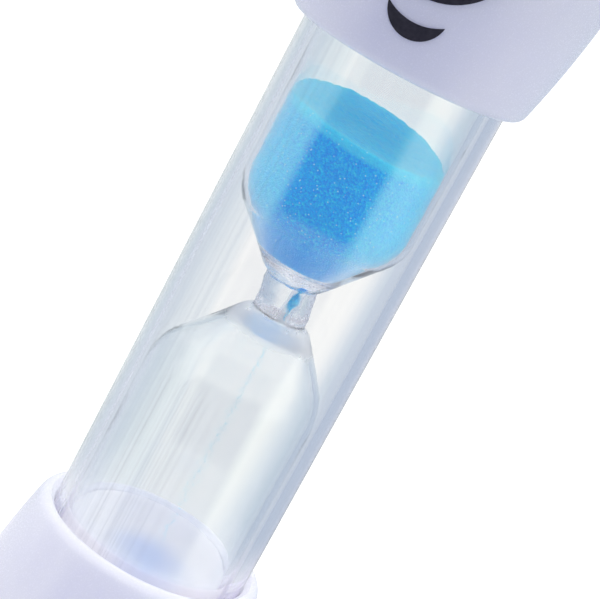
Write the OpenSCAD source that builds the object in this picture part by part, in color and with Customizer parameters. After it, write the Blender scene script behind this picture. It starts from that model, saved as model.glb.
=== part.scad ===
// Small sand timer: a necked glass vial inside a clear tube, held between two moulded end caps.
// It stands on its lower cap: the origin is the centre of the base, +Z is up,
// and the smiling face printed on the upper cap looks towards -Y.

/* [Whole timer] */
// Height from the lower end cover to the upper one
total_h = 90; // [86:1:96]

/* [End caps] */
// Height of one cap, from its end to its lip
cap_h = 22; // [20:0.5:24]
// Widest diameter of a cap
cap_max_d = 25.6; // [25.4:0.1:27]
// Height above the cap's end at which it is widest
cap_belly_h = 2.5; // [1.5:0.5:4]
// Radius of the flare along the cap's side
cap_flare_r = 76; // [70:1:90]
// Thickness of the cap's skirt
cap_wall = 2.0; // [1.6:0.1:2.2]
// Rounding of the edge round the cap's end
cap_edge_r = 0.8; // [0.5:0.1:1]
// Rounding of the outer edge of the lip
lip_r = 1.0; // [0.8:0.1:1.1]
// Height of the bevel that leads the tube into its socket
lip_bevel_h = 0.4; // [0.3:0.1:1.2]
// Depth of the socket that holds the tube
socket_depth = 7; // [6:0.5:8]
// Thickness of the web that closes the socket
web_t = 1.6; // [1.2:0.1:2]
// Number of stiffening ribs under the web
rib_count = 6; // [4:1:8]
// Thickness of one rib
rib_t = 1.2; // [1:0.1:1.4]

/* [End covers] */
// Thickness of the pressed-in cover disc
cover_t = 1.6; // [1.4:0.1:2]
// Diameter of the cover disc
cover_d = 22.8; // [22.6:0.1:23]
// Height of the ring on the cover's inner side
cover_ring_h = 2; // [1.5:0.5:3]
// Thickness of that ring
cover_ring_t = 1; // [0.8:0.1:1.2]

/* [Clear tube] */
// Outer diameter of the tube
tube_d = 18; // [17.8:0.1:18]
// Wall of the tube
tube_wall = 1.1; // [1:0.05:1.2]

/* [Glass vial] */
// Outer diameter of the bulbs
vial_d = 15.2; // [14.8:0.1:15.4]
// Wall of the bulbs
vial_wall = 0.45; // [0.4:0.05:0.7]
// Height of the neck's middle above the middle of the timer
waist_rise = 1.2; // [-1.5:0.1:1.5]
// Radius of the bulb's shoulder, where the straight wall starts to close
shoulder_r = 5; // [4.6:0.1:5.4]
// Angle between the bulb's sloping wall and the vial's axis
bulb_slope = 41; // [39:1:43]
// Radius between the sloping wall and the neck end of the bulb
bulb_base_r = 2; // [1.8:0.1:2.2]
// Angle between the neck end of the bulb and the vial's axis
bulb_base_slope = 55; // [52:1:58]
// Outer diameter of the neck between the bulbs
neck_d = 4.7; // [4.5:0.1:4.9]
// Height of the straight part of the neck
neck_h = 2.7; // [2.5:0.1:2.9]
// Fillet between the neck and a bulb
neck_fillet = 0.5; // [0.4:0.1:0.6]
// Diameter of the passage through the neck
passage_d = 0.9; // [0.7:0.1:1]
// Sideways offset of the passage in the hand-drawn neck
passage_x = 0.9; // [0.5:0.1:1]
// Height of a bulb's inner floor, on the axis, over the middle of the neck
floor_h = 2.3; // [2.2:0.05:2.4]
// Angle between that floor and the vial's axis
floor_slope = 74; // [72:1:76]
// Radius between the floor and the bulb's sloping wall
floor_bend_r = 2; // [1.8:0.1:2.2]

/* [Vial plugs] */
// Height of the plug's face over the lip of its cap
plug_rise = 0.3; // [0:0.1:1]
// Thickness of the plug's flange, which carries the end of the vial
plug_flange_t = 1.5; // [1.2:0.1:2]
// Rounding round the plug's face
plug_edge_r = 0.2; // [0.1:0.1:0.5]

/* [Sand] */
// Height of the sand's level above the middle of the timer
sand_level = 17.4; // [13:0.1:18]
// Slope of the sand's surface up towards the back
sand_slope_back = 6; // [0:1:8]
// Slope of the sand's surface down towards the right
sand_slope_side = 4; // [0:1:6]
// Diameter of the falling stream of grains
stream_d = 0.3; // [0.2:0.05:0.4]

/* [Printed face] */
// Thickness of the printed ink
ink_t = 0.06; // [0.04:0.01:0.1]
// Turn of the face about the timer's axis
face_turn = -6; // [-12:1:12]
// Height of the chin line's lowest point over the lip
chin_h = 2.9; // [2.6:0.1:3.2]
// Outer radius of the chin line
chin_r = 2.4; // [2.2:0.1:2.8]
// Thickness of the chin line in its middle
chin_t = 1.35; // [1.1:0.05:1.5]
// Shift of the chin line to the right of the face's middle
chin_x = 0.25; // [0:0.05:0.5]
// Height of the mouth's lowest point over the lip
mouth_h = 6.25; // [6:0.05:7]
// Width of the mouth
mouth_w = 11; // [10:0.5:12]
// Height of the mouth
mouth_depth = 4.4; // [4:0.1:4.8]
// Height of the middle of the eyes over the lip
eye_h = 15; // [14.5:0.1:15.5]
// Distance of each eye from the middle of the face
eye_x = 3.2; // [3:0.1:3.6]
// Width of an eye
eye_w = 2.8; // [2.4:0.1:3]
// Height of an eye
eye_tall = 4.6; // [4:0.1:5]

/* [Hidden] */
$fn = 96;

white = [0.88, 0.88, 0.93];
clear = [0.80, 0.86, 0.90, 0.30];
glass = [0.72, 0.84, 0.86, 0.40];
blue = [0.20, 0.60, 0.92];
black = [0.14, 0.13, 0.14];

fit_gap = 0.1; // radial play between pieces that slip into each other
skin_gap = 0.02; // play between the sand and the glass
mid_z = total_h / 2;
web_h = cap_h - socket_depth;
tube_len = total_h - 2 * web_h;
tube_r = tube_d / 2;
bore_r = tube_r - tube_wall;
socket_r = tube_r + fit_gap;
cover_r = cover_d / 2;
half_vial = tube_len / 2 - plug_flange_t;
waist_z = mid_z + waist_rise;
vial_r = vial_d / 2;
vial_inner_r = vial_r - vial_wall;
passage_r = passage_d / 2;
neck_half = neck_h / 2;
plug_face = mid_z - cap_h - plug_rise; // below the middle of the timer
plug_stem_h = half_vial - plug_face;
floor_edge = passage_x + passage_r;
passage_half = floor_h + floor_edge; // the passage reaches well into both bulbs

// Outer radius of a cap at height h over its end: a long, shallow curve
function cap_r(h) = cap_max_d / 2 - pow(h - cap_belly_h, 2) / (2 * cap_flare_r);
// Angle at which the cap's side leans inwards at height h
function cap_lean(h) = atan((h - cap_belly_h) / cap_flare_r);
// Points on an arc round [x, y], from angle a to angle b
function arc(x, y, r, a, b, steps = 10) =
    [for (i = [0 : steps]) let (t = a + (b - a) * i / steps) [x + r * cos(t), y + r * sin(t)]];
// Points on the cap's side from height a to height b, moved inwards by an inset
function cap_side(a, b, inset = 0, steps = 14) =
    [for (i = [0 : steps]) let (h = a + (b - a) * i / steps) [cap_r(h) - inset, h]];

// Where the rounding of the lip starts on the cap's side
lip_lean = cap_lean(cap_h - lip_r);
lip_start = cap_h - lip_r * (1 - sin(lip_lean));

// One cap with its lip up: skirt, socket, web, and a rebate for the end cover
module cap_outline() {
    lip_x = cap_r(lip_start) - lip_r * cos(lip_lean);
    polygon(concat(
        [[cover_r + fit_gap / 2, 0]],
        arc(cap_r(cap_edge_r) - cap_edge_r, cap_edge_r, cap_edge_r, -90, 0, 6),
        cap_side(cap_edge_r + 1, lip_start),
        arc(lip_x, cap_h - lip_r, lip_r, lip_lean + 8, 90, 8),
        [[socket_r, cap_h - lip_bevel_h]],
        [[socket_r, web_h]],
        [[0, web_h]],
        [[0, web_h - web_t]],
        cap_side(web_h - web_t, cover_t, cap_wall, 8),
        [[cover_r + fit_gap / 2, cover_t]]
    ));
}

module cap_ribs() {
    rib_low = cover_t + cover_ring_h + 0.5;
    rib_reach = cap_r(web_h) - cap_wall * 0.3;
    for (i = [0 : rib_count - 1])
        rotate([0, 0, (i + 0.5) * 360 / rib_count])
            translate([4, -rib_t / 2, rib_low])
                cube([rib_reach - 4, rib_t, web_h - web_t / 2 - rib_low]);
}

module cap_body() {
    union() {
        rotate_extrude() cap_outline();
        cap_ribs();
    }
}

// Disc with a ring that presses into the skirt; its outer face is flush with the cap's end
module cover_body() {
    ring_r = cap_r(cover_t) - cap_wall - fit_gap;
    rotate_extrude() polygon([
        [0, 0],
        [cover_r - 0.2, 0],
        [cover_r, 0.2],
        [cover_r, cover_t],
        [ring_r, cover_t],
        [ring_r - 0.2, cover_t + cover_ring_h],
        [ring_r - cover_ring_t, cover_t + cover_ring_h],
        [ring_r - cover_ring_t, cover_t],
        [0, cover_t]
    ]);
}

// Stopper with a flange: the stem closes the vial, the flange carries it on the cap's web
module plug_body() {
    stem_r = vial_inner_r - fit_gap / 2;
    rotate_extrude() polygon(concat(
        [[0, 0], [vial_r, 0], [vial_r, plug_flange_t], [stem_r, plug_flange_t]],
        arc(stem_r - plug_edge_r, plug_flange_t + plug_stem_h - plug_edge_r, plug_edge_r, 0, 90, 5),
        [[0, plug_flange_t + plug_stem_h]]
    ));
}

// The bulb's outside, from the straight wall at height shoulder_z down to the neck at neck_half
slope_drop = (vial_r - shoulder_r * (1 - cos(bulb_slope))
    - bulb_base_r * (cos(bulb_slope) - cos(bulb_base_slope))
    - neck_fillet * (1 - cos(bulb_base_slope)) - neck_d / 2) / tan(bulb_slope);
shoulder_z = neck_half + shoulder_r * sin(bulb_slope) + slope_drop
    + (bulb_base_r + neck_fillet) * sin(bulb_base_slope) - bulb_base_r * sin(bulb_slope);
base_x = neck_d / 2 + neck_fillet - (neck_fillet + bulb_base_r) * cos(bulb_base_slope);
base_z = neck_half + (neck_fillet + bulb_base_r) * sin(bulb_base_slope);
function bulb_outside() = concat(
    arc(neck_d / 2 + neck_fillet, neck_half, neck_fillet, 180, 180 - bulb_base_slope, 5),
    arc(base_x, base_z, bulb_base_r, -bulb_base_slope, -bulb_slope, 5),
    arc(vial_r - shoulder_r, shoulder_z, shoulder_r, -bulb_slope, 0, 10)
);

// The bulb's inside, moved in by a gap: conical floor, bend, slope and shoulder.
// The slope and the shoulder are parallel to the outside, and the floor is thicker.
// The bend's centre is where a circle of its radius touches both the floor and the slope.
slope_at = (vial_r - shoulder_r) * cos(bulb_slope) - shoulder_z * sin(bulb_slope) + shoulder_r - vial_wall;
floor_at = floor_h + floor_bend_r / sin(floor_slope);
bend_x = (slope_at - floor_bend_r + floor_at * sin(bulb_slope))
    / (cos(bulb_slope) - sin(bulb_slope) / tan(floor_slope));
bend_z = floor_at + bend_x / tan(floor_slope);
function bulb_inside(gap = 0) = concat(
    [[0, floor_h + gap / sin(floor_slope)]],
    arc(bend_x, bend_z, floor_bend_r - gap, -floor_slope, -bulb_slope, 6),
    arc(vial_r - shoulder_r, shoulder_z, shoulder_r - vial_wall - gap, -bulb_slope, 0, 10)
);

// One half of the vial without its hollow, from the waist up to its end at height h
module half_vial_solid(h) {
    rotate_extrude() polygon(concat(
        [[0, 0], [neck_d / 2, 0]],
        bulb_outside(),
        [[vial_r, h], [0, h]]
    ));
}

module half_vial_hollow(h) {
    rotate_extrude() polygon(concat(
        bulb_inside(),
        [[vial_inner_r, h + 1], [0, h + 1]]
    ));
}

module lower_cap() {
    color(white) cap_body();
}

module upper_cap() {
    color(white) translate([0, 0, total_h]) mirror([0, 0, 1]) cap_body();
}

module lower_end_cover() {
    color(white) cover_body();
}

module upper_end_cover() {
    color(white) translate([0, 0, total_h]) mirror([0, 0, 1]) cover_body();
}

module outer_tube() {
    color(clear) translate([0, 0, web_h]) difference() {
        cylinder(r = tube_r, h = tube_len);
        translate([0, 0, -1]) cylinder(r = bore_r, h = tube_len + 2);
    }
}

module glass_vial() {
    upper = half_vial - waist_rise;
    lower = half_vial + waist_rise;
    color(glass) translate([0, 0, waist_z]) difference() {
        union() {
            half_vial_solid(upper);
            mirror([0, 0, 1]) half_vial_solid(lower);
        }
        half_vial_hollow(upper);
        mirror([0, 0, 1]) half_vial_hollow(lower);
        translate([passage_x, 0, -passage_half]) cylinder(r = passage_r, h = 2 * passage_half);
    }
}

module lower_plug() {
    color(white) translate([0, 0, web_h]) plug_body();
}

module upper_plug() {
    color(white) translate([0, 0, total_h - web_h]) mirror([0, 0, 1]) plug_body();
}

// Sand resting in the upper bulb; its surface slopes a little, as it lay when the timer was turned
module upper_sand() {
    highest = sand_level - waist_rise + 2;
    color(blue) intersection() {
        translate([0, 0, waist_z]) rotate_extrude() polygon(concat(
            bulb_inside(skin_gap),
            [[vial_inner_r - skin_gap, highest], [0, highest]]
        ));
        translate([0, 0, mid_z + sand_level]) rotate([sand_slope_back, sand_slope_side, 0])
            translate([0, 0, -half_vial]) cylinder(r = vial_d, h = half_vial);
    }
}

// Grains in the passage, and the thin stream that falls from it to the lower plug
module sand_stream() {
    grain_r = passage_r - fit_gap;
    grains_half = floor_h + passage_x / tan(floor_slope);
    fall = plug_face + waist_rise;
    color(blue) translate([passage_x, 0, waist_z]) union() {
        translate([0, 0, -grains_half]) cylinder(r = grain_r, h = 2 * grains_half);
        translate([0, 0, -fall]) cylinder(r = stream_d / 2, h = fall);
    }
}

// A thin skin of ink on the upper cap, in the outline that its child draws from the lip upwards
module ink() {
    lip_z = total_h - cap_h;
    color(black) rotate([0, 0, face_turn]) intersection() {
        translate([0, 0, total_h]) mirror([0, 0, 1]) rotate_extrude() polygon(concat(
            cap_side(cap_edge_r + 1, lip_start),
            [for (p = cap_side(lip_start, cap_edge_r + 1)) p + [ink_t, 0]]
        ));
        translate([0, 0, lip_z]) rotate([90, 0, 0]) linear_extrude(height = cap_max_d) children();
    }
}

module chin_line() {
    // the inner circle meets the outer one at the ends of the line
    sag = chin_r * 0.85 - chin_t;
    inner_r = (pow(chin_r * 0.985, 2) + pow(sag, 2)) / (2 * sag);
    ink() difference() {
        translate([chin_x, chin_h + chin_r]) circle(r = chin_r);
        translate([chin_x, chin_h + chin_t + inner_r]) circle(r = inner_r);
    }
}

module mouth() {
    ink() intersection() {
        translate([0, mouth_h + mouth_w / 2]) circle(r = mouth_w / 2);
        translate([-mouth_w / 2, mouth_h]) square([mouth_w, mouth_depth]);
    }
}

module eye(x) {
    straight = eye_tall - eye_w;
    ink() translate([x, eye_h]) union() {
        translate([0, straight / 2]) circle(r = eye_w / 2);
        translate([0, -straight / 2]) circle(r = eye_w / 2);
        translate([-eye_w / 2, -straight / 2]) square([eye_w, straight]);
    }
}

module left_eye() {
    eye(-eye_x);
}

module right_eye() {
    eye(eye_x);
}

lower_cap();
upper_cap();
lower_end_cover();
upper_end_cover();
outer_tube();
glass_vial();
lower_plug();
upper_plug();
upper_sand();
sand_stream();
chin_line();
mouth();
left_eye();
right_eye();
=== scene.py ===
import math
import random

import bmesh
import bpy
from mathutils import Matrix, Vector, noise


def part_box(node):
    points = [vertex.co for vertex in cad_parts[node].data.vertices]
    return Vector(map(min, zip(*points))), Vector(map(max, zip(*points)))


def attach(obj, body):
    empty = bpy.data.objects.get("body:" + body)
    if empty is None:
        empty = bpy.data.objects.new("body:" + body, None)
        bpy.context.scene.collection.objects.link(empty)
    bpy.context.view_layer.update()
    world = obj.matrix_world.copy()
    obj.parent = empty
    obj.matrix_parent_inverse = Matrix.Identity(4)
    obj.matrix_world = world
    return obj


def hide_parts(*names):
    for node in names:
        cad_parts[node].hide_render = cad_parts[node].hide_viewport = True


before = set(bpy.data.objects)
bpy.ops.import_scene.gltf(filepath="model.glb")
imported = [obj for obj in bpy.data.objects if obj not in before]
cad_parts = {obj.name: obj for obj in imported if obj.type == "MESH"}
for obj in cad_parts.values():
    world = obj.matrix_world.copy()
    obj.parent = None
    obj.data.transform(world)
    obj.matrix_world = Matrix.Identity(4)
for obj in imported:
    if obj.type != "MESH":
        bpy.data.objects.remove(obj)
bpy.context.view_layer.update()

MM = 0.001
MICRON = 1e-6
ON_AXIS = 1e-8

# ---------------------------------------------------------------- sizes, from the frame
LIP_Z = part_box("lower_cap")[1].z
TOTAL_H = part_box("upper_end_cover")[1].z
MID_Z = TOTAL_H / 2
WEB_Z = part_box("outer_tube")[0].z
TUBE_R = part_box("outer_tube")[1].x
VIAL_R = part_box("glass_vial")[1].x
VIAL_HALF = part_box("glass_vial")[1].z - MID_Z
FLANGE_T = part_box("glass_vial")[0].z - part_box("lower_plug")[0].z
PLUG_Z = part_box("lower_plug")[1].z
CAP_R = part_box("lower_cap")[1].x
COVER_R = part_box("lower_end_cover")[1].x
SAND_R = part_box("upper_sand")[1].x

# ---------------------------------------------------------------- shapes that the boxes don't tell
TUBE_WALL = 1.1 * MM
VIAL_WALL = 0.45 * MM
FIT_GAP = 0.1 * MM  # between the covers and the caps
SKIN_GAP = 0.03 * MM  # between the sand and the glass
SEAT_GAP = 0.05 * MM  # between the tube and its sockets
GLASS_BITE = 0.04 * MM  # how far a plug's stem presses into the glass

BELLY_H = 2.5 * MM
FLARE_R = 76 * MM
CAP_WALL = 2.0 * MM
CAP_EDGE_R = 0.8 * MM
LIP_R = 1.0 * MM
LIP_BEVEL = 0.4 * MM
WEB_T = 1.6 * MM
COVER_T = 1.6 * MM
RING_H = 2.0 * MM
RING_T = 1.0 * MM
RIBS = 6
RIB_T = 1.2 * MM

WAIST_RISE = 1.2 * MM
SHOULDER_R = 5.0 * MM
BULB_SLOPE = math.radians(41)
BASE_R = 2.0 * MM
BASE_SLOPE = math.radians(55)
NECK_R = 2.35 * MM
NECK_HALF = 1.35 * MM
NECK_FILLET = 0.5 * MM
PASSAGE_R = 0.45 * MM
PASSAGE_EDGE_R = 0.3 * MM
PASSAGE_X = 0.9 * MM
FLOOR_H = 2.3 * MM
FLOOR_SLOPE = math.radians(74)
FLOOR_BEND_R = 2.0 * MM
SAND_LEVEL = 17.2 * MM
SAND_BACK = math.radians(5.8)
SAND_SIDE = math.radians(4)

FACE_TURN = math.radians(-6)
INK_T = 0.04 * MM
INK_BITE = 0.02 * MM
CHIN_X = 0.25 * MM
CHIN_H = 2.9 * MM
CHIN_R = 2.4 * MM
CHIN_T = 1.35 * MM
MOUTH_H = 6.25 * MM
MOUTH_W = 11 * MM
MOUTH_DEPTH = 4.4 * MM
EYE_X = 3.2 * MM
EYE_H = 15 * MM
EYE_W = 2.8 * MM
EYE_TALL = 4.6 * MM

CLOT_DROP = 1.9 * MM  # how far under the waist the grains hang
CLOT_R = 0.41 * MM  # radius of the clot at its widest
CLOT_TRIES = 1100
STREAM_SEED = 7


# ---------------------------------------------------------------- mesh tools
def arc(x, y, r, a, b, steps):
    """Points on an arc round (x, y), from angle a to angle b in degrees."""
    turns = [math.radians(a + (b - a) * i / steps) for i in range(steps + 1)]
    return [(x + r * math.cos(t), y + r * math.sin(t)) for t in turns]


def rounded(points, radius, steps=4):
    """The closed outline with each corner cut by a small curve of about that radius."""
    out = []
    count = len(points)
    for i, here in enumerate(points):
        p, before, after = (Vector(q) for q in (here, points[i - 1], points[(i + 1) % count]))
        into, away = (before - p), (after - p)
        doubled = into.length < ON_AXIS or away.length < ON_AXIS
        hardly_bent = into.normalized().dot(away.normalized()) < -0.97
        if p.x < ON_AXIS or doubled or hardly_bent:
            out.append(tuple(p))
            continue
        reach = min(radius, 0.45 * into.length, 0.45 * away.length)
        start, end = p + into.normalized() * reach, p + away.normalized() * reach
        for k in range(steps + 1):
            t = k / steps
            out.append(tuple(start * (1 - t) ** 2 + p * 2 * t * (1 - t) + end * t * t))
    return out


def smooth(mesh, angle=35):
    mesh.shade_smooth()
    mesh.set_sharp_from_angle(angle=math.radians(angle))


def finish_mesh(name, bm, angle=35):
    """Turns a bmesh into an object with outward faces and smooth shading."""
    bmesh.ops.recalc_face_normals(bm, faces=bm.faces)
    mesh = bpy.data.meshes.new(name)
    bm.to_mesh(mesh)
    bm.free()
    smooth(mesh, angle)
    made = bpy.data.objects.new(name, mesh)
    bpy.context.scene.collection.objects.link(made)
    return made


def lathe(name, outline, segments=192, shift=None, angle=35):
    """Turns a closed outline of (radius, height) points about +Z.
    shift(turn, *point) gives a small change of (x, y, z) at a point of the surface."""
    bm = bmesh.new()
    rings = []
    for point in outline:
        r, z = point[:2]
        if r < ON_AXIS:
            pole = Vector((0, 0, z))
            if shift:
                pole += Vector(shift(0, *point))
            rings.append([bm.verts.new(pole)])
            continue
        ring = []
        for i in range(segments):
            turn = 2 * math.pi * i / segments
            spot = Vector((r * math.cos(turn), r * math.sin(turn), z))
            if shift:
                spot += Vector(shift(turn, *point))
            ring.append(bm.verts.new(spot))
        rings.append(ring)
    for low, high in zip(rings, rings[1:] + rings[:1]):
        for i in range(segments):
            j = (i + 1) % segments
            corners = [low[i % len(low)], low[j % len(low)],
                       high[j % len(high)], high[i % len(high)]]
            corners = [c for k, c in enumerate(corners) if c not in corners[:k]]
            if len(corners) > 2:
                bm.faces.new(corners)
    return finish_mesh(name, bm, angle)


def at_end(end, outline):
    """The outline as it is at the lower end, and upside down at the upper one."""
    return [(r, TOTAL_H - z) for r, z in outline] if end == "upper" else outline


def join(name, objects):
    """One object from several."""
    with bpy.context.temp_override(active_object=objects[0], selected_editable_objects=objects):
        bpy.ops.object.join()
    objects[0].name = name
    objects[0].data.name = name
    return objects[0]


def place(piece, slot, material, *nodes):
    """Gives a piece its material and its body, and hides the CAD nodes that it stands for. Its slot
    is not used.
    """
    piece.data.materials.clear()
    piece.data.materials.append(material)
    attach(piece, "root")
    if nodes:
        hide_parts(*nodes)
    return piece


# ---------------------------------------------------------------- material tools
def new_material(name, **values):
    """A material with one principled shader; values are its plain sockets."""
    made = bpy.data.materials.new(name)
    made.use_nodes = True
    tree = made.node_tree
    shader = tree.nodes["Principled BSDF"]
    for socket, value in values.items():
        shader.inputs[socket.replace("_", " ")].default_value = value
    return made, tree, shader


def node(tree, kind, inputs=None, **settings):
    """Adds a node; inputs are values or other nodes' outputs."""
    made = tree.nodes.new("ShaderNode" + kind)
    for key, value in settings.items():
        setattr(made, key, value)
    for key, value in (inputs or {}).items():
        if isinstance(value, bpy.types.NodeSocket):
            tree.links.new(value, made.inputs[key])
        else:
            made.inputs[key].default_value = value
    return made


def object_coords(tree, scale):
    """Object coordinates, scaled along each axis."""
    coords = node(tree, "TexCoord")
    mapping = node(tree, "Mapping", {"Vector": coords.outputs["Object"], "Scale": scale})
    return mapping.outputs["Vector"]


def object_xyz(tree):
    """Object coordinates, one output for each axis."""
    spot = node(tree, "SeparateXYZ", {0: node(tree, "TexCoord").outputs["Object"]})
    return [spot.outputs[axis] for axis in "XYZ"]


def noise_of(tree, scale, detail=3.0, roughness=0.5, distortion=0.0):
    """Noise with a feature size given per axis, in features per metre."""
    made = node(tree, "TexNoise", {
        "Vector": object_coords(tree, scale),
        "Scale": 1.0,
        "Detail": detail,
        "Roughness": roughness,
        "Distortion": distortion,
    })
    return made.outputs["Fac"]


def ramp(tree, factor, stops):
    """A colour ramp; stops are (position, colour or grey)."""
    made = node(tree, "ValToRGB", {"Fac": factor})
    elements = made.color_ramp.elements
    while len(elements) < len(stops):
        elements.new(0.5)
    for element, (position, colour) in zip(elements, stops):
        element.position = position
        grey = isinstance(colour, (int, float))
        element.color = (colour, colour, colour, 1) if grey else (*colour, 1)
    return made.outputs["Color"]


def remap(tree, value, low, high, to_low=0.0, to_high=1.0, smoothly=False):
    made = node(tree, "MapRange", {
        "Value": value,
        "From Min": low,
        "From Max": high,
        "To Min": to_low,
        "To Max": to_high,
    }, interpolation_type="SMOOTHSTEP" if smoothly else "LINEAR")
    return made.outputs["Result"]


def maths(tree, operation, a, b=0.0):
    return node(tree, "Math", {0: a, 1: b}, operation=operation).outputs[0]


def from_axis(tree, x, y):
    """Distance from the timer's axis."""
    across = node(tree, "CombineXYZ", {0: x, 1: y}).outputs[0]
    return node(tree, "VectorMath", {0: across}, operation="LENGTH").outputs["Value"]


def blend_colours(tree, factor, a, b, mode="MIX"):
    made = node(tree, "Mix", data_type="RGBA", blend_type=mode)
    for socket, value in ((made.inputs[0], factor), (made.inputs[6], a), (made.inputs[7], b)):
        if isinstance(value, bpy.types.NodeSocket):
            tree.links.new(value, socket)
        elif isinstance(value, tuple):
            socket.default_value = (*value, 1)
        else:
            socket.default_value = value
    return made.outputs[2]


def bump(tree, height, distance, strength=1.0, normal=None):
    inputs = {"Height": height, "Distance": distance, "Strength": strength}
    if normal:
        inputs["Normal"] = normal
    return node(tree, "Bump", inputs).outputs["Normal"]


# ---------------------------------------------------------------- materials
def moulded_plastic(name, low, high, gloss):
    """Glossy moulded plastic: a faint flow mottling, fine grain and soft waves in the gloss."""
    made, tree, shader = new_material(
        name, IOR=1.5, Subsurface_Weight=0.6, Subsurface_Scale=2.0 * MM,
        Subsurface_Radius=(1.0, 1.0, 1.1))
    mottle = noise_of(tree, (160, 160, 110), detail=3, distortion=0.6)
    tree.links.new(ramp(tree, mottle, [(0.3, low), (0.72, high)]), shader.inputs["Base Color"])
    grain = noise_of(tree, (9000, 9000, 9000), detail=2)
    waves = noise_of(tree, (220, 220, 180), detail=2)
    uneven = remap(tree, grain, 0.3, 0.7, gloss - 0.04, gloss + 0.06)
    tree.links.new(uneven, shader.inputs["Roughness"])
    wavy = bump(tree, waves, 60 * MICRON, 0.5)
    tree.links.new(bump(tree, grain, 1.5 * MICRON, 0.6, wavy), shader.inputs["Normal"])
    return made


def plug_plastic():
    """Satin white, with a painted blue light on its front half, for the light that passes through
    the sand.
    It has a painted glow, most down its side, for the light that the clear walls pipe to it."""
    made, tree, shader = new_material(
        "plug_plastic", IOR=1.46, Subsurface_Weight=0.9, Subsurface_Scale=2.5 * MM,
        Subsurface_Radius=(1.0, 1.0, 1.1), Emission_Strength=0.4)
    # the painted blue light is an oval, narrower across than it is deep
    narrow = 1.4
    spot = Vector((0.5 * MM * narrow, -4.6 * MM, PLUG_Z))
    coords = object_coords(tree, (narrow, 1, 1))
    apart = node(tree, "VectorMath", {0: coords, 1: spot}, operation="DISTANCE").outputs["Value"]
    painted_blue_light = remap(tree, apart, 6.2 * MM, 0.8 * MM, smoothly=True)
    cloud = noise_of(tree, (420, 420, 420), detail=3)
    painted_blue_light = maths(tree, "MULTIPLY", painted_blue_light, remap(tree, cloud, 0.25, 0.75, 0.75, 1.0))
    plain = ramp(tree, cloud, [(0.3, (0.63, 0.61, 0.63)), (0.7, (0.67, 0.65, 0.67))])
    colour = blend_colours(tree, painted_blue_light, plain, (0.30, 0.38, 0.60))
    tree.links.new(colour, shader.inputs["Base Color"])
    # painted glow: the emission is brighter down the plug's side than on its face
    side = remap(tree, object_xyz(tree)[2], PLUG_Z - 0.02 * MM, PLUG_Z - 0.4 * MM, smoothly=True)
    glow = blend_colours(tree, side, (0.46, 0.46, 0.52), (0.92, 0.90, 0.98))
    tree.links.new(glow, shader.inputs["Emission Color"])
    grain = noise_of(tree, (7000, 7000, 7000), detail=2)
    tree.links.new(remap(tree, grain, 0.3, 0.7, 0.38, 0.5), shader.inputs["Roughness"])
    tree.links.new(bump(tree, grain, 3 * MICRON, 0.6), shader.inputs["Normal"])
    return made


def streaks(tree, fineness):
    """Die lines of the drawn tube: noise that changes round the tube and hardly along it."""
    return noise_of(tree, (fineness, fineness, fineness * 0.004), detail=4, roughness=0.7)


def clear_plastic():
    """Clear extruded tube: lengthwise die lines in its surface, a faint haze along them, painted
    grey shade along them, strongest on its left, and a painted lavender shade along its right edge."""
    made, tree, shader = new_material("clear_plastic", IOR=1.47, Roughness=0.02)
    lines = streaks(tree, 1500)
    broad = streaks(tree, 260)
    across = object_xyz(tree)[0]
    strength = remap(tree, across, -3.6 * MM, -5.6 * MM, 0.12, 1.0, smoothly=True)
    mixed = maths(tree, "MULTIPLY", lines, strength)
    # painted shade: grey along the die lines, strongest on the left
    tint = ramp(tree, maths(tree, "MULTIPLY", remap(tree, lines, 0.35, 0.65), strength),
                [(0.0, (0.985, 0.985, 0.99)), (1.0, (0.90, 0.905, 0.93))])
    # painted shade: a lavender tint along the tube's right edge
    cast = remap(tree, across, 8.2 * MM, 8.6 * MM, smoothly=True)
    tint = blend_colours(tree, cast, tint, (0.92, 0.89, 0.95), "MULTIPLY")
    tree.links.new(tint, shader.inputs["Base Color"])
    haze = maths(tree, "MULTIPLY", remap(tree, lines, 0.5, 0.72, smoothly=True), strength)
    tree.links.new(remap(tree, haze, 0, 1, 0.995, 0.93), shader.inputs["Transmission Weight"])
    ridges = bump(tree, mixed, 5 * MICRON, 0.8)
    tree.links.new(bump(tree, broad, 18 * MICRON, 0.5, ridges), shader.inputs["Normal"])
    return made


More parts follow.
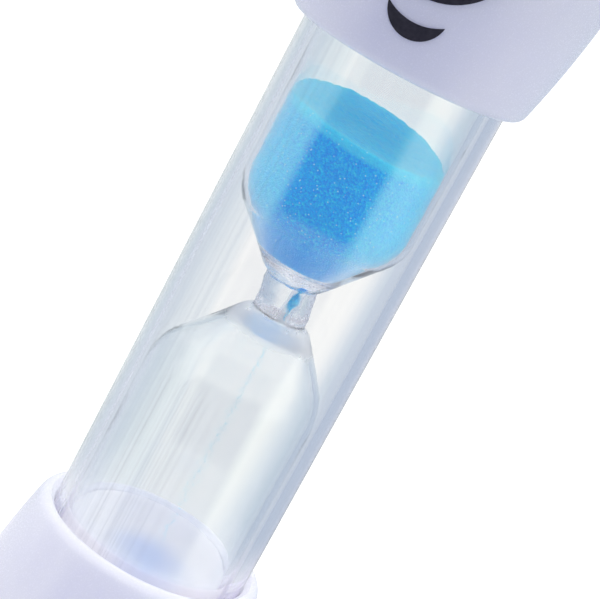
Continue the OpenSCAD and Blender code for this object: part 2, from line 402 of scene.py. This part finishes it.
def vial_glass():
    """Blown glass: clear, a trace of green, with slow waves and lengthwise draw lines, which are
    strongest on one side of the lower bulb, where they carry painted grey shade. The lamp-worked
    neck is a little frosted."""
    made, tree, shader = new_material("vial_glass", IOR=1.5, Transmission_Weight=1.0)
    x, y, z = object_xyz(tree)
    waves = noise_of(tree, (260, 260, 180), detail=2)
    draw = streaks(tree, 700)
    fine = streaks(tree, 1900)
    # the draw lines, with their painted grey shade, lie on the left of the lower bulb's front
    lined = remap(tree, x, -5.2 * MM, -4.7 * MM)
    lined = maths(tree, "MULTIPLY", lined, remap(tree, x, 0.4 * MM, -1.6 * MM))
    lined = maths(tree, "MULTIPLY", lined, remap(tree, y, 1 * MM, -1 * MM))
    lined = maths(tree, "MULTIPLY", lined, remap(tree, z, MID_Z - 6 * MM, MID_Z - 8.5 * MM))
    # painted shade: grey along the fine draw lines there
    grey = maths(tree, "MULTIPLY", remap(tree, fine, 0.50, 0.36), lined)
    clear = ramp(tree, draw, [(0.3, (0.955, 0.985, 0.985)), (0.7, (0.985, 0.995, 0.995))])
    colour = blend_colours(tree, grey, clear, (0.80, 0.82, 0.84))
    tree.links.new(colour, shader.inputs["Base Color"])
    from_waist = maths(tree, "ABSOLUTE", maths(tree, "SUBTRACT", z, WAIST_Z))
    neck = remap(tree, from_waist, 4.2 * MM, 2.6 * MM, smoothly=True)
    frost = remap(tree, noise_of(tree, (1500, 1500, 900), detail=3), 0.3, 0.7, 0.12, 0.34)
    low = remap(tree, z, WAIST_Z - 1.2 * MM, WAIST_Z - 2.2 * MM, 0.0, 0.2)
    frost = maths(tree, "ADD", frost, low)
    tree.links.new(maths(tree, "MULTIPLY", neck, frost), shader.inputs["Roughness"])
    drawn = bump(tree, draw, 4 * MICRON, 0.6)
    lines = bump(tree, maths(tree, "MULTIPLY", fine, lined), 10 * MICRON, 0.8, drawn)
    tree.links.new(bump(tree, waves, 60 * MICRON, 0.5, lines), shader.inputs["Normal"])
    return made


def blue_sand(name, glow, blues, rim=None):
    """Fine dyed grains: every grain its own blue, a few paler, glossier ones with a painted glint.
    The bulk has painted light, paler at both sides, just under its top and in a thin strip under
    its rim, and painted shade, deeper towards the bottom. It has a faint painted glow."""
    made, tree, shader = new_material(
        name, IOR=1.5,
        Subsurface_Weight=glow, Subsurface_Radius=(0.25, 0.8, 1.2), Subsurface_Scale=1.0 * MM,
        Sheen_Weight=0.9, Sheen_Roughness=0.5, Sheen_Tint=(0.35, 0.88, 1.0, 1),
        # painted glow: the sand emits a faint blue light
        Emission_Strength=0.12, Emission_Color=(0.0, 0.35, 1.0, 1))
    grains = node(tree, "TexVoronoi", {
        "Vector": object_coords(tree, (7000, 7000, 7000)), "Scale": 1.0, "Randomness": 1.0})
    parts = node(tree, "SeparateColor", {"Color": grains.outputs["Color"]})
    cloud = noise_of(tree, (900, 900, 900), detail=3)
    body = ramp(tree, parts.outputs["Red"], list(zip((0.0, 0.45, 0.8, 1.0), blues)))
    body = blend_colours(tree, remap(tree, cloud, 0.35, 0.7, 0.0, 0.35), body, blues[0])
    if rim:
        depth, radius, beside = rim(tree)
        # painted light: a lighter strip just under the rim of the surface
        painted_rim_light = maths(tree, "MULTIPLY", remap(tree, depth, 0.95 * MM, 0.5 * MM, smoothly=True),
                     remap(tree, radius, SAND_R - 1.0 * MM, SAND_R - 0.4 * MM, smoothly=True))
        ragged = maths(tree, "MULTIPLY", painted_rim_light, remap(tree, cloud, 0.3, 0.7, 0.35, 0.85))
        # painted light: paler at both sides of the front
        sides = remap(tree, beside, 2.6 * MM, 3.5 * MM, 0.0, 0.8, smoothly=True)
        sides = maths(tree, "MULTIPLY", sides, remap(tree, cloud, 0.3, 0.7, 0.8, 1.0))
        sides = maths(tree, "MULTIPLY", sides, remap(tree, parts.outputs["Blue"], 0, 1, 0.6, 1.0))
        body = blend_colours(tree, sides, body, (0.15, 0.89, 1.0))
        # painted light: lighter just under the top surface
        surface = remap(tree, depth, 0.9 * MM, 0.6 * MM, 0.0, 0.35)
        body = blend_colours(tree, surface, body, (0.12, 0.90, 1.0))
        # painted shade: deeper blue towards the bottom
        painted_low_shade = remap(tree, depth, 7.5 * MM, 11.5 * MM, 0.0, 0.75, smoothly=True)
        body = blend_colours(tree, painted_low_shade, body, (0.001, 0.33, 0.80))
        body = blend_colours(tree, ragged, body, (0.12, 0.88, 1.0))
    # painted glint: a few grains paler at their cores, and glossier
    glint = maths(tree, "MULTIPLY", remap(tree, parts.outputs["Green"], 0.955, 0.963),
                  remap(tree, grains.outputs["Distance"], 0.5, 0.3))
    tree.links.new(blend_colours(tree, glint, body, (0.55, 0.97, 1.0)), shader.inputs["Base Color"])
    tree.links.new(remap(tree, glint, 0, 1, 0.7, 0.5), shader.inputs["Roughness"])
    lumpy = bump(tree, grains.outputs["Distance"], 60 * MICRON, 0.8)
    tree.links.new(lumpy, shader.inputs["Normal"])
    return made


DEEP_BLUES = ((0.002, 0.38, 0.92), (0.004, 0.56, 0.99), (0.01, 0.70, 1.0), (0.06, 0.85, 1.0))
PALE_BLUES = ((0.03, 0.70, 0.92), (0.06, 0.82, 0.98), (0.12, 0.90, 1.0), (0.22, 0.96, 1.0))


def sand_rim(tree):
    """How far a point lies under the plane of the sand's surface, from the timer's axis, and to the
    side of its front."""
    x, y, z = object_xyz(tree)
    plane = maths(tree, "ADD", maths(tree, "MULTIPLY", y, math.tan(SAND_BACK)), MID_Z + SAND_LEVEL)
    plane = maths(tree, "SUBTRACT", plane, maths(tree, "MULTIPLY", x, math.tan(SAND_SIDE)))
    radius = from_axis(tree, x, y)
    beside = maths(tree, "ABSOLUTE", maths(tree, "ADD", x, 0.35 * MM))
    return maths(tree, "SUBTRACT", plane, z), radius, beside


def black_ink():
    """Pad-printed ink: near black, slightly thin in places, satin."""
    made, tree, shader = new_material("black_ink", IOR=1.48)
    cover = noise_of(tree, (2600, 2600, 2600), detail=3)
    tree.links.new(ramp(tree, cover, [(0.3, (0.018, 0.015, 0.018)), (0.75, (0.035, 0.030, 0.036))]),
                   shader.inputs["Base Color"])
    tree.links.new(remap(tree, cover, 0.3, 0.7, 0.3, 0.42), shader.inputs["Roughness"])
    tree.links.new(bump(tree, cover, 2 * MICRON, 0.6), shader.inputs["Normal"])
    return made


# ---------------------------------------------------------------- caps and covers
def cap_r(h):
    """Outer radius of a cap at height h over its end."""
    return CAP_R - (h - BELLY_H) ** 2 / (2 * FLARE_R)


def cap_side(a, b, inset, steps):
    """Points along a cap's flared side, from height a to height b."""
    heights = [a + (b - a) * i / steps for i in range(steps + 1)]
    return [(cap_r(h) - inset, h) for h in heights]


def cap_outline():
    """Half section of a cap that stands on its end with its lip up."""
    lean = math.atan((LIP_Z - LIP_R - BELLY_H) / FLARE_R)
    start = LIP_Z - LIP_R * (1 - math.sin(lean))
    lip_x = cap_r(start) - LIP_R * math.cos(lean)
    socket = TUBE_R + SEAT_GAP
    rebate = COVER_R + FIT_GAP / 2
    edge = 0.12 * MM
    outline = [(rebate, edge), (rebate + edge, 0)]
    outline += arc(cap_r(CAP_EDGE_R) - CAP_EDGE_R, CAP_EDGE_R, CAP_EDGE_R, -90, 0, 8)
    outline += cap_side(CAP_EDGE_R + 0.6 * MM, start, 0, 48)
    outline += arc(lip_x, LIP_Z - LIP_R, LIP_R, math.degrees(lean) + 6, 90, 12)
    outline += arc(socket + 0.2 * MM, LIP_Z - LIP_BEVEL - 0.1 * MM, 0.2 * MM, 100, 180, 5)
    outline += [(socket, WEB_Z), (0, WEB_Z), (0, WEB_Z - WEB_T)]
    outline += cap_side(WEB_Z - WEB_T, COVER_T, CAP_WALL, 12)
    outline += [(rebate, COVER_T)]
    return outline


def ribs(end):
    """Thin ribs under the web of a cap."""
    bm = bmesh.new()
    low = COVER_T + RING_H + 0.5 * MM
    high = WEB_Z - WEB_T
    inner = 4 * MM
    for i in range(RIBS):
        outer = cap_r(low) - CAP_WALL
        made = bmesh.ops.create_cube(bm, size=1)["verts"]
        size = Matrix.Diagonal((outer - inner, RIB_T, high - low, 1))
        middle = Matrix.Translation(((outer + inner) / 2, 0, (high + low) / 2))
        turn = Matrix.Rotation(2 * math.pi * (i + 0.5) / RIBS, 4, "Z")
        bmesh.ops.transform(bm, matrix=turn @ middle @ size, verts=made)
        for v in made:
            reach = math.hypot(v.co.x, v.co.y)
            limit = cap_r(v.co.z) - CAP_WALL * 0.8
            if reach > limit:
                v.co.x *= limit / reach
                v.co.y *= limit / reach
    if end == "upper":
        upside_down = Matrix.Translation((0, 0, TOTAL_H)) @ Matrix.Diagonal((1, 1, -1, 1))
        bmesh.ops.transform(bm, matrix=upside_down, verts=bm.verts)
    return finish_mesh("ribs", bm)


def cover_outline():
    ring = cap_r(COVER_T) - CAP_WALL - FIT_GAP
    edge = 0.25 * MM
    return [
        (0, 0),
        (COVER_R - edge, 0),
        (COVER_R - 0.07 * MM, 0.07 * MM),
        (COVER_R, edge),
        (COVER_R, COVER_T),
        (ring, COVER_T),
        (ring - 0.2 * MM, COVER_T + RING_H),
        (ring - RING_T, COVER_T + RING_H),
        (ring - RING_T, COVER_T),
        (0, COVER_T),
    ]


def make_cap(end, material):
    shell = lathe("shell", at_end(end, cap_outline()), segments=256)
    cap = join(end + "_cap_moulding", [shell, ribs(end)])
    return place(cap, "cap_plastic", material, end + "_cap")


def make_cover(end, material):
    made = lathe(end + "_cover_disc", at_end(end, cover_outline()), segments=192)
    return place(made, "cover_plastic", material, end + "_end_cover")


# ---------------------------------------------------------------- tube, vial and plugs
def make_tube(material):
    """The clear tube; its ends are slightly rounded and its bore is a touch out of round."""
    top = TOTAL_H - WEB_Z
    inner = TUBE_R - TUBE_WALL
    corner = 0.12 * MM
    # the rings next to the corners keep the shading of the long walls straight
    levels = [WEB_Z + 2 * corner, WEB_Z + 4 * corner, MID_Z, top - 4 * corner, top - 2 * corner]
    outline = [(inner, WEB_Z), (TUBE_R, WEB_Z)] + [(TUBE_R, z) for z in levels]
    outline += [(TUBE_R, top), (inner, top)] + [(inner, z) for z in levels[::-1]]
    outline = rounded(outline, corner)

    def out_of_round(turn, r, z):
        if r > TUBE_R - TUBE_WALL / 2:
            return 0, 0, 0
        drift = 0.02 * MM * math.cos(2 * turn + 0.7) + 0.008 * MM * math.cos(7 * turn)
        return drift * math.cos(turn), drift * math.sin(turn), 0

    made = lathe("tube_wall", outline, segments=384, shift=out_of_round)
    return place(made, "clear_plastic", material, "outer_tube")


def bulb_geometry():
    """The centres that the bulb's arcs share, measured from the middle of the timer."""
    slope_drop = (VIAL_R - SHOULDER_R * (1 - math.cos(BULB_SLOPE))
                  - BASE_R * (math.cos(BULB_SLOPE) - math.cos(BASE_SLOPE))
                  - NECK_FILLET * (1 - math.cos(BASE_SLOPE)) - NECK_R) / math.tan(BULB_SLOPE)
    base_x = NECK_R + NECK_FILLET - (NECK_FILLET + BASE_R) * math.cos(BASE_SLOPE)
    base_z = NECK_HALF + (NECK_FILLET + BASE_R) * math.sin(BASE_SLOPE)
    slope_z = base_z - BASE_R * math.sin(BULB_SLOPE) + slope_drop
    shoulder_z = slope_z + SHOULDER_R * math.sin(BULB_SLOPE)
    return base_x, base_z, shoulder_z


BASE_X, BASE_Z, SHOULDER_Z = bulb_geometry()
WAIST_Z = MID_Z + WAIST_RISE


def bulb_outside():
    """The outside of one bulb, from the neck outwards."""
    slope, base = math.degrees(BULB_SLOPE), math.degrees(BASE_SLOPE)
    points = arc(NECK_R + NECK_FILLET, NECK_HALF, NECK_FILLET, 180, 180 - base, 6)
    points += arc(BASE_X, BASE_Z, BASE_R, -base, -slope, 12)[1:]
    points += arc(VIAL_R - SHOULDER_R, SHOULDER_Z, SHOULDER_R, -slope, 0, 16)
    return points


def floor_bend():
    """Centre of the bend between a bulb's inner floor and its slope, which it touches both."""
    slope_at = ((VIAL_R - SHOULDER_R) * math.cos(BULB_SLOPE) - SHOULDER_Z * math.sin(BULB_SLOPE)
                + SHOULDER_R - VIAL_WALL)
    floor_at = FLOOR_H + FLOOR_BEND_R / math.sin(FLOOR_SLOPE)
    x = ((slope_at - FLOOR_BEND_R + floor_at * math.sin(BULB_SLOPE))
         / (math.cos(BULB_SLOPE) - math.sin(BULB_SLOPE) / math.tan(FLOOR_SLOPE)))
    return x, floor_at + x / math.tan(FLOOR_SLOPE)


def bulb_inside(gap):
    """The inside of one bulb, moved in by a gap: passage mouth, floor, bend, slope and shoulder."""
    slope, floor = math.degrees(BULB_SLOPE), math.degrees(FLOOR_SLOPE)
    lip_x = PASSAGE_R + PASSAGE_EDGE_R
    lip_z = (FLOOR_H + (lip_x - PASSAGE_EDGE_R * math.cos(FLOOR_SLOPE)) / math.tan(FLOOR_SLOPE)
             - PASSAGE_EDGE_R * math.sin(FLOOR_SLOPE))
    mouth = arc(lip_x, lip_z, PASSAGE_EDGE_R + gap, 180, 180 - floor, 6)
    bend = arc(*floor_bend(), FLOOR_BEND_R - gap, -floor, -slope, 10)
    (x0, z0), (x1, z1) = mouth[-1], bend[0]
    run = [(x0 + (x1 - x0) * t, z0 + (z1 - z0) * t) for t in (0.25, 0.5, 0.75)]
    shoulder = arc(VIAL_R - SHOULDER_R, SHOULDER_Z, SHOULDER_R - VIAL_WALL - gap, -slope, 0, 16)
    return mouth + run + bend + shoulder


def ease(t):
    t = max(0.0, min(1.0, t))
    return t * t * (3 - 2 * t)


def hump(h, centre, width):
    return math.exp(-((h - centre) / width) ** 2)


def vial_axis(h):
    """How far the hand-drawn vial's own axis wanders to the side at height h over its waist."""
    return (0.62 * hump(h, -4.6 * MM, 2.6 * MM) + 0.45 * hump(h, -0.5 * MM, 2.2 * MM)
            - 0.25 * hump(h, 4.6 * MM, 2.2 * MM)) * MM


def inside_shift(turn, r, z):
    """The inside follows the vial's wandering axis, and near the waist the off-centre passage."""
    axis = vial_axis(z - WAIST_Z)
    follow = 1 - ease((r - PASSAGE_R) / (2.3 * MM))
    return axis + (PASSAGE_X - axis) * follow, 0, 0


def outside_shift(turn, r, z):
    """The lamp-worked outside: a groove and a ring low on the neck, and soft lumps round it."""
    h = z - WAIST_Z
    fade = 1 - ease((abs(h) - 2.0 * MM) / (1.6 * MM))
    at = Vector((math.cos(turn) * 1.3, math.sin(turn) * 1.3, h / MM * 0.8))
    swell = (0.24 * hump(h, -2.15 * MM, 0.6 * MM) - 0.06 * hump(h, -1.45 * MM, 0.35 * MM)
             + 0.04 * hump(h, -0.9 * MM, 0.3 * MM) - 0.06 * hump(h, 1.5 * MM, 0.4 * MM))
    lumps = (0.12 * noise.noise(at + Vector((3.1, 0, 0)))
             + 0.04 * noise.noise(at * 3 + Vector((0, 7.7, 0))))
    swell = (swell + lumps) * fade * MM
    return vial_axis(h) + swell * math.cos(turn), swell * math.sin(turn), 0


def vial_shift(turn, r, z, inside=False):
    return inside_shift(turn, r, z) if inside else outside_shift(turn, r, z)


def make_vial(material):
    """Both bulbs and the neck as one closed glass body with open, fire-polished ends."""
    steps = 24
    outer, inner = bulb_outside(), bulb_inside(0)
    neck = [(NECK_R, NECK_HALF * (2 * i / steps - 1)) for i in range(1, steps)]
    mouth_h = inner[0][1]
    passage = [(PASSAGE_R, mouth_h * (1 - 2 * i / steps)) for i in range(1, steps)]
    end_up, end_down = VIAL_HALF - WAIST_RISE, VIAL_HALF + WAIST_RISE
    inner_r = VIAL_R - VIAL_WALL
    polish = 0.15 * MM

    def bulb(points, r, end):
        start = points[-1][1]
        run = end - polish - start
        return points + [(r, start + run * t) for t in (0.03, 0.1, 0.5, 0.95, 0.98, 1)]

    def down(points):
        return [(r, -h) for r, h in points[::-1]]

    outside = down(bulb(outer, VIAL_R, end_down)) + neck + bulb(outer, VIAL_R, end_up)
    inside = down(bulb(inner, inner_r, end_down)) + passage[::-1] + bulb(inner, inner_r, end_up)
    rim = VIAL_R - VIAL_WALL / 2
    outline = [(r, WAIST_Z + h) for r, h in outside] + [(rim, WAIST_Z + end_up)]
    outline += [(r, WAIST_Z + h, True) for r, h in inside[::-1]] + [(rim, WAIST_Z - end_down)]
    made = lathe("vial_glass_body", outline, segments=192, shift=vial_shift, angle=80)
    return place(made, "vial_glass", material, "glass_vial")


def plug_outline():
    stem = VIAL_R - VIAL_WALL + GLASS_BITE
    edge = 0.45 * MM
    outline = [(0, WEB_Z), (VIAL_R - 0.15 * MM, WEB_Z), (VIAL_R, WEB_Z + 0.15 * MM)]
    outline += [(VIAL_R, WEB_Z + FLANGE_T), (stem, WEB_Z + FLANGE_T)]
    outline += [(stem, PLUG_Z - 3 * edge), (stem, PLUG_Z - 1.5 * edge)]
    outline += arc(stem - edge, PLUG_Z - edge, edge, 0, 90, 8)
    # a shallow dish in the face, left by the moulding
    outline += [(stem * t, PLUG_Z - 0.08 * MM * (1 - t) ** 2) for t in (0.85, 0.7, 0.5, 0.3, 0.15)]
    outline += [(0, PLUG_Z - 0.08 * MM)]
    return outline


def make_plug(end, material):
    made = lathe(end + "_plug_stopper", at_end(end, plug_outline()), segments=128)
    return place(made, "plug_plastic", material, end + "_plug")


# ---------------------------------------------------------------- sand
def sand_surface(x, y):
    """Height of the sand's surface: a slope, a slight hollow, and grains lying unevenly."""
    at = Vector((x, y, 0)) / MM
    rough = (0.14 * noise.noise(at * 0.45) + 0.07 * noise.noise(at * 2.2)
             + 0.04 * noise.noise(at * 6))
    hollow = 0.25 * (1 - (x * x + y * y) / (SAND_R * SAND_R))
    plane = MID_Z + SAND_LEVEL + y * math.tan(SAND_BACK) - x * math.tan(SAND_SIDE)
    return plane + (rough - hollow) * MM


def make_sand(material):
    """The sand in the upper bulb: it fills the glass up to a rough, sloping surface."""
    level = MID_Z + SAND_LEVEL
    outline = [(r, WAIST_Z + h) for r, h in bulb_inside(SKIN_GAP)]
    low = outline[-1][1]
    edge = SAND_R - 0.15 * MM
    rings = 30
    outline = [(0, outline[0][1])] + outline
    outline += [(SAND_R, low + (level - low) * t) for t in (0.2, 0.4, 0.6, 0.8, 0.9, 0.97)]
    outline += [(edge, level)]
    outline += [(edge * (1 - i / rings), level) for i in range(1, rings + 1)]

    def settle(turn, r, z):
        if z <= low:
            return inside_shift(turn, r, z)
        rise = sand_surface(r * math.cos(turn), r * math.sin(turn)) - level
        return 0, 0, rise * (z - low) / (level - low)

    made = lathe("sand_bulk", outline, segments=224, shift=settle, angle=60)
    return place(made, "blue_sand", material, "upper_sand")


def add_grain(bm, rng, centre, size):
    """One small irregular grain."""
    made = bmesh.ops.create_icosphere(bm, subdivisions=1, radius=size)["verts"]
    angle = rng.uniform(0, 6.28)
    turn = Matrix.Rotation(angle, 4, Vector((rng.uniform(-1, 1), rng.uniform(-1, 1), 0.3)))
    stretches = (rng.uniform(0.8, 1.2), rng.uniform(0.7, 1.1), rng.uniform(0.8, 1.3), 1)
    laid = Matrix.Translation(centre) @ turn @ Matrix.Diagonal(stretches)
    bmesh.ops.transform(bm, matrix=laid, verts=made)


def column_r(h):
    """Radius of the grains in the passage at height h over the waist: they hang in two clots."""
    profile = [  # (height, radius) in millimetres
        (-1.9, 0.04), (-0.8, 0.18), (-0.4, 0.30), (0.1, 0.41), (0.55, 0.40), (0.95, 0.14),
        (1.2, 0.24), (1.6, 0.24), (1.9, 0.10), (2.3, 0.40), (2.6, 0.45)]
    for (a, ra), (b, rb) in zip(profile, profile[1:]):
        if h <= b * MM:
            return (ra + (rb - ra) * max(0.0, h / MM - a) / (b - a)) * MM
    return profile[-1][1] * MM


def make_stream(material):
    """Grains hanging in the passage, then the thin shower of falling grains down to the plug."""
    rng = random.Random(STREAM_SEED)
    bm = bmesh.new()
    mouth_h = bulb_inside(0)[0][1]
    for i in range(CLOT_TRIES):
        h = mouth_h - (mouth_h + CLOT_DROP) * i / CLOT_TRIES
        reach = column_r(h)
        size = min(rng.uniform(0.06, 0.10) * MM, reach * 0.6)
        if rng.random() > (reach / CLOT_R) ** 2:
            continue
        off, turn = (reach - size) * math.sqrt(rng.random()), rng.uniform(0, 2 * math.pi)
        centre = Vector((PASSAGE_X + off * math.cos(turn), off * math.sin(turn), WAIST_Z + h))
        add_grain(bm, rng, centre, size)
    fall = WAIST_Z - mouth_h - PLUG_Z
    drop = 0.0
    while drop < fall:
        # grains speed up as they fall, so they lie further apart lower down
        size = rng.uniform(0.026, 0.038) * MM
        spread = (0.10 + 0.14 * drop / fall) * MM
        centre = Vector((PASSAGE_X + rng.gauss(0, 1) * spread, rng.gauss(0, 1) * spread,
                         max(PLUG_Z + size, WAIST_Z - mouth_h - drop)))
        add_grain(bm, rng, centre, size)
        drop += (0.04 + 0.07 * drop / fall) * MM
    made = finish_mesh("stream_grains", bm, 80)
    return place(made, "blue_sand", material, "sand_stream")


# ---------------------------------------------------------------- printed face
def print_shape(name, outline, steps, material, cad_node):
    """Lays a flat closed outline, in (across, up from the lip), on the upper cap as a thin skin."""
    bm = bmesh.new()
    ring = [bm.verts.new((x, 0, y)) for x, y in outline]
    bm.faces.new(ring)
    xs, ys = [p[0] for p in outline], [p[1] for p in outline]
    for axis, lo, hi in ((0, min(xs), max(xs)), (2, min(ys), max(ys))):
        for i in range(1, steps):
            at, normal = [0, 0, 0], [0, 0, 0]
            at[axis], normal[axis] = lo + (hi - lo) * i / steps, 1
            everything = bm.verts[:] + bm.edges[:] + bm.faces[:]
            bmesh.ops.bisect_plane(bm, geom=everything, plane_co=at, plane_no=normal)
    bmesh.ops.remove_doubles(bm, verts=bm.verts, dist=2 * MICRON)
    solid = bmesh.ops.extrude_face_region(bm, geom=bm.faces[:])
    lifted = {v for v in solid["geom"] if isinstance(v, bmesh.types.BMVert)}
    lip = TOTAL_H - LIP_Z
    for v in bm.verts:
        level = LIP_Z - v.co.z
        radius = cap_r(level) + (INK_T if v in lifted else -INK_BITE)
        v.co = Vector((v.co.x, -math.sqrt(radius ** 2 - v.co.x ** 2), lip + v.co.z))
    bmesh.ops.rotate(bm, verts=bm.verts, cent=(0, 0, 0), matrix=Matrix.Rotation(FACE_TURN, 3, "Z"))
    return place(finish_mesh(name, bm, 40), "black_ink", material, cad_node)


def crescent(chin_h, r, thick, steps=28):
    """A smile-shaped line: an outer arc below and a flatter arc above, meeting in two tips."""
    sag = r * 0.85 - thick
    inner = ((r * 0.985) ** 2 + sag ** 2) / (2 * sag)
    tip_y = chin_h + thick + sag
    tip_angle = math.degrees(math.asin(min(1.0, (tip_y - chin_h - r) / r)))
    lower = arc(0, chin_h + r, r, 180 - tip_angle, 360 + tip_angle, steps)
    half = math.degrees(math.asin(min(1.0, lower[-1][0] / inner)))
    upper = arc(0, chin_h + thick + inner, inner, 270 + half, 270 - half, steps)
    return lower + upper[1:-1]


def grin(bottom, width, height, steps=40):
    """A filled mouth: a straight top and a round bottom, with soft corners."""
    r = width / 2
    reach = math.degrees(math.asin(min(1.0, (r - height) / r)))
    return arc(0, bottom + r, r, 180 + reach, 360 - reach, steps)


def oval(x, y, width, height, steps=20):
    r = width / 2
    straight = (height - width) / 2
    return arc(x, y + straight, r, 0, 180, steps) + arc(x, y - straight, r, 180, 360, steps)


def make_face(material):
    chin = [(x + CHIN_X, y) for x, y in crescent(CHIN_H, CHIN_R, CHIN_T)]
    print_shape("chin_print", chin, 10, material, "chin_line")
    print_shape("mouth_print", grin(MOUTH_H, MOUTH_W, MOUTH_DEPTH), 16, material, "mouth")
    for side, x in (("left", -EYE_X), ("right", EYE_X)):
        eye = oval(x, EYE_H, EYE_W, EYE_TALL)
        print_shape(side + "_eye_print", eye, 8, material, side + "_eye")


# ---------------------------------------------------------------- studio
FOCAL_PX = 1972  # focal length in pixels of a picture that is FRAME_PX wide
FRAME_PX = 600
CAMERA_AT = (1.51 * MM, -157.5 * MM, 88.1 * MM)
CAMERA_DOWN = math.radians(14.77)
CAMERA_ROLL = math.radians(28.38)
TENT_LIGHT = 1.42
LOW_SOFT = 0.72  # the soft boxes' light near the floor and on it
HIGH_SOFT = 1.08


def tent_ramp(tree, x, y, soft):
    """The tent's light round the timer, by the angle in degrees from straight behind it, where the
    right is positive; soft is the light of the two soft boxes."""
    turn = remap(tree, maths(tree, "ARCTAN2", x, y), -math.pi, math.pi)
    front, back = (0.14, 0.17, 0.31), (0.69, 0.695, 0.68)
    left, left_edge, left_near = (0.52, 0.55, 0.62), (0.41, 0.475, 0.52), (0.62, 0.655, 0.66)
    right_near, right = (0.48, 0.53, 0.58), (0.35, 0.41, 0.49)
    stops = [
        (-131, front), (-126, soft * 0.9), (-100, soft * 0.9), (-84, left), (-55, left),
        (-32, left_edge), (-8.3, left_near), (-7.3, back), (8, back), (15, right_near),
        (30, right), (84, right), (100, soft), (133, soft), (138, front)]
    return ramp(tree, turn, [((a + 180) / 360, c) for a, c in stops])


def make_floor():
    """A plain white floor. Seen straight on it is paper with a soft shadow; to the timer it gives
    the same light as the tent above it, so that the glass has something to show."""
    bm = bmesh.new()
    bmesh.ops.create_circle(bm, cap_ends=True, segments=96, radius=6)
    floor = finish_mesh("studio_floor", bm)
    floor.location.z = -0.05 * MM
    made, tree, shader = new_material("floor_paper", Roughness=0.9)
    shader.inputs["Specular IOR Level"].default_value = 0.0
    tint = noise_of(tree, (6, 6, 6), detail=2)
    tree.links.new(ramp(tree, tint, [(0.3, 0.60), (0.7, 0.62)]), shader.inputs["Base Color"])
    shader.inputs["Emission Color"].default_value = (1, 1, 1, 1)
    shader.inputs["Emission Strength"].default_value = 0.66
    x, y = object_xyz(tree)[:2]
    away = from_axis(tree, x, y)
    far = remap(tree, away, 45 * MM, 75 * MM, smoothly=True)
    cast = blend_colours(tree, far, (0.71, 0.71, 0.74), tent_ramp(tree, x, y, LOW_SOFT))
    glow = node(tree, "Emission", {"Color": cast, "Strength": TENT_LIGHT})
    seen = node(tree, "LightPath").outputs["Is Camera Ray"]
    mixed = node(tree, "MixShader", {0: seen, 1: glow.outputs[0], 2: shader.outputs[0]})
    tree.links.new(mixed.outputs[0], tree.nodes["Material Output"].inputs["Surface"])
    floor.data.materials.append(made)


def make_world():
    """A white tent: soft boxes at both sides, light from above, and an open, darker front."""
    world = bpy.data.worlds.new("tent")
    bpy.context.scene.world = world
    world.use_nodes = True
    tree = world.node_tree
    direction = node(tree, "SeparateXYZ", {0: node(tree, "TexCoord").outputs["Generated"]})
    low, high = (tent_ramp(tree, direction.outputs["X"], direction.outputs["Y"], soft)
                 for soft in (LOW_SOFT, HIGH_SOFT))
    raised = remap(tree, direction.outputs["Z"], 0.03, 0.2, smoothly=True)
    around = blend_colours(tree, raised, low, high)
    above = remap(tree, direction.outputs["Z"], 0.4, 0.65, smoothly=True)
    cloth = blend_colours(tree, above, around, (1.0, 1.0, 1.0))
    background = tree.nodes["Background"]
    tree.links.new(cloth, background.inputs["Color"])
    background.inputs["Strength"].default_value = TENT_LIGHT
    plain = node(tree, "Background", {"Color": (1, 1, 1, 1), "Strength": 1.0})
    seen = node(tree, "LightPath").outputs["Is Camera Ray"]
    mixed = node(tree, "MixShader", {0: seen, 1: background.outputs[0], 2: plain.outputs[0]})
    tree.links.new(mixed.outputs[0], tree.nodes["World Output"].inputs["Surface"])


def make_camera():
    """Close to the timer, a little above it, and rolled so that the timer leans to the right."""
    data = bpy.data.cameras.new("camera")
    data.sensor_width = 36
    data.lens = data.sensor_width * FOCAL_PX / FRAME_PX
    data.clip_start = 0.01
    camera = bpy.data.objects.new("camera", data)
    bpy.context.scene.collection.objects.link(camera)
    look = Matrix.Rotation(math.pi / 2 - CAMERA_DOWN, 4, "X") @ Matrix.Rotation(CAMERA_ROLL, 4, "Z")
    camera.matrix_world = Matrix.Translation(CAMERA_AT) @ look
    bpy.context.scene.camera = camera


make_camera()
make_world()
make_floor()
cap_material = moulded_plastic("cap_plastic", (0.79, 0.79, 0.875), (0.83, 0.83, 0.90), 0.24)
cover_material = moulded_plastic("cover_plastic", (0.77, 0.77, 0.88), (0.80, 0.80, 0.91), 0.34)
plug_material = plug_plastic()
for end in ("lower", "upper"):
    make_cap(end, cap_material)
    make_cover(end, cover_material)
    make_plug(end, plug_material)
make_tube(clear_plastic())
make_vial(vial_glass())
make_sand(blue_sand("blue_sand", 0.5, DEEP_BLUES, sand_rim))
make_stream(blue_sand("stream_sand", 0.3, PALE_BLUES))
make_face(black_ink())

cycles = bpy.context.scene.cycles
cycles.max_bounces = 32
cycles.transmission_bounces = 32
cycles.glossy_bounces = 16
cycles.blur_glossy = 0
bpy.context.scene.view_settings.view_transform = "Standard"
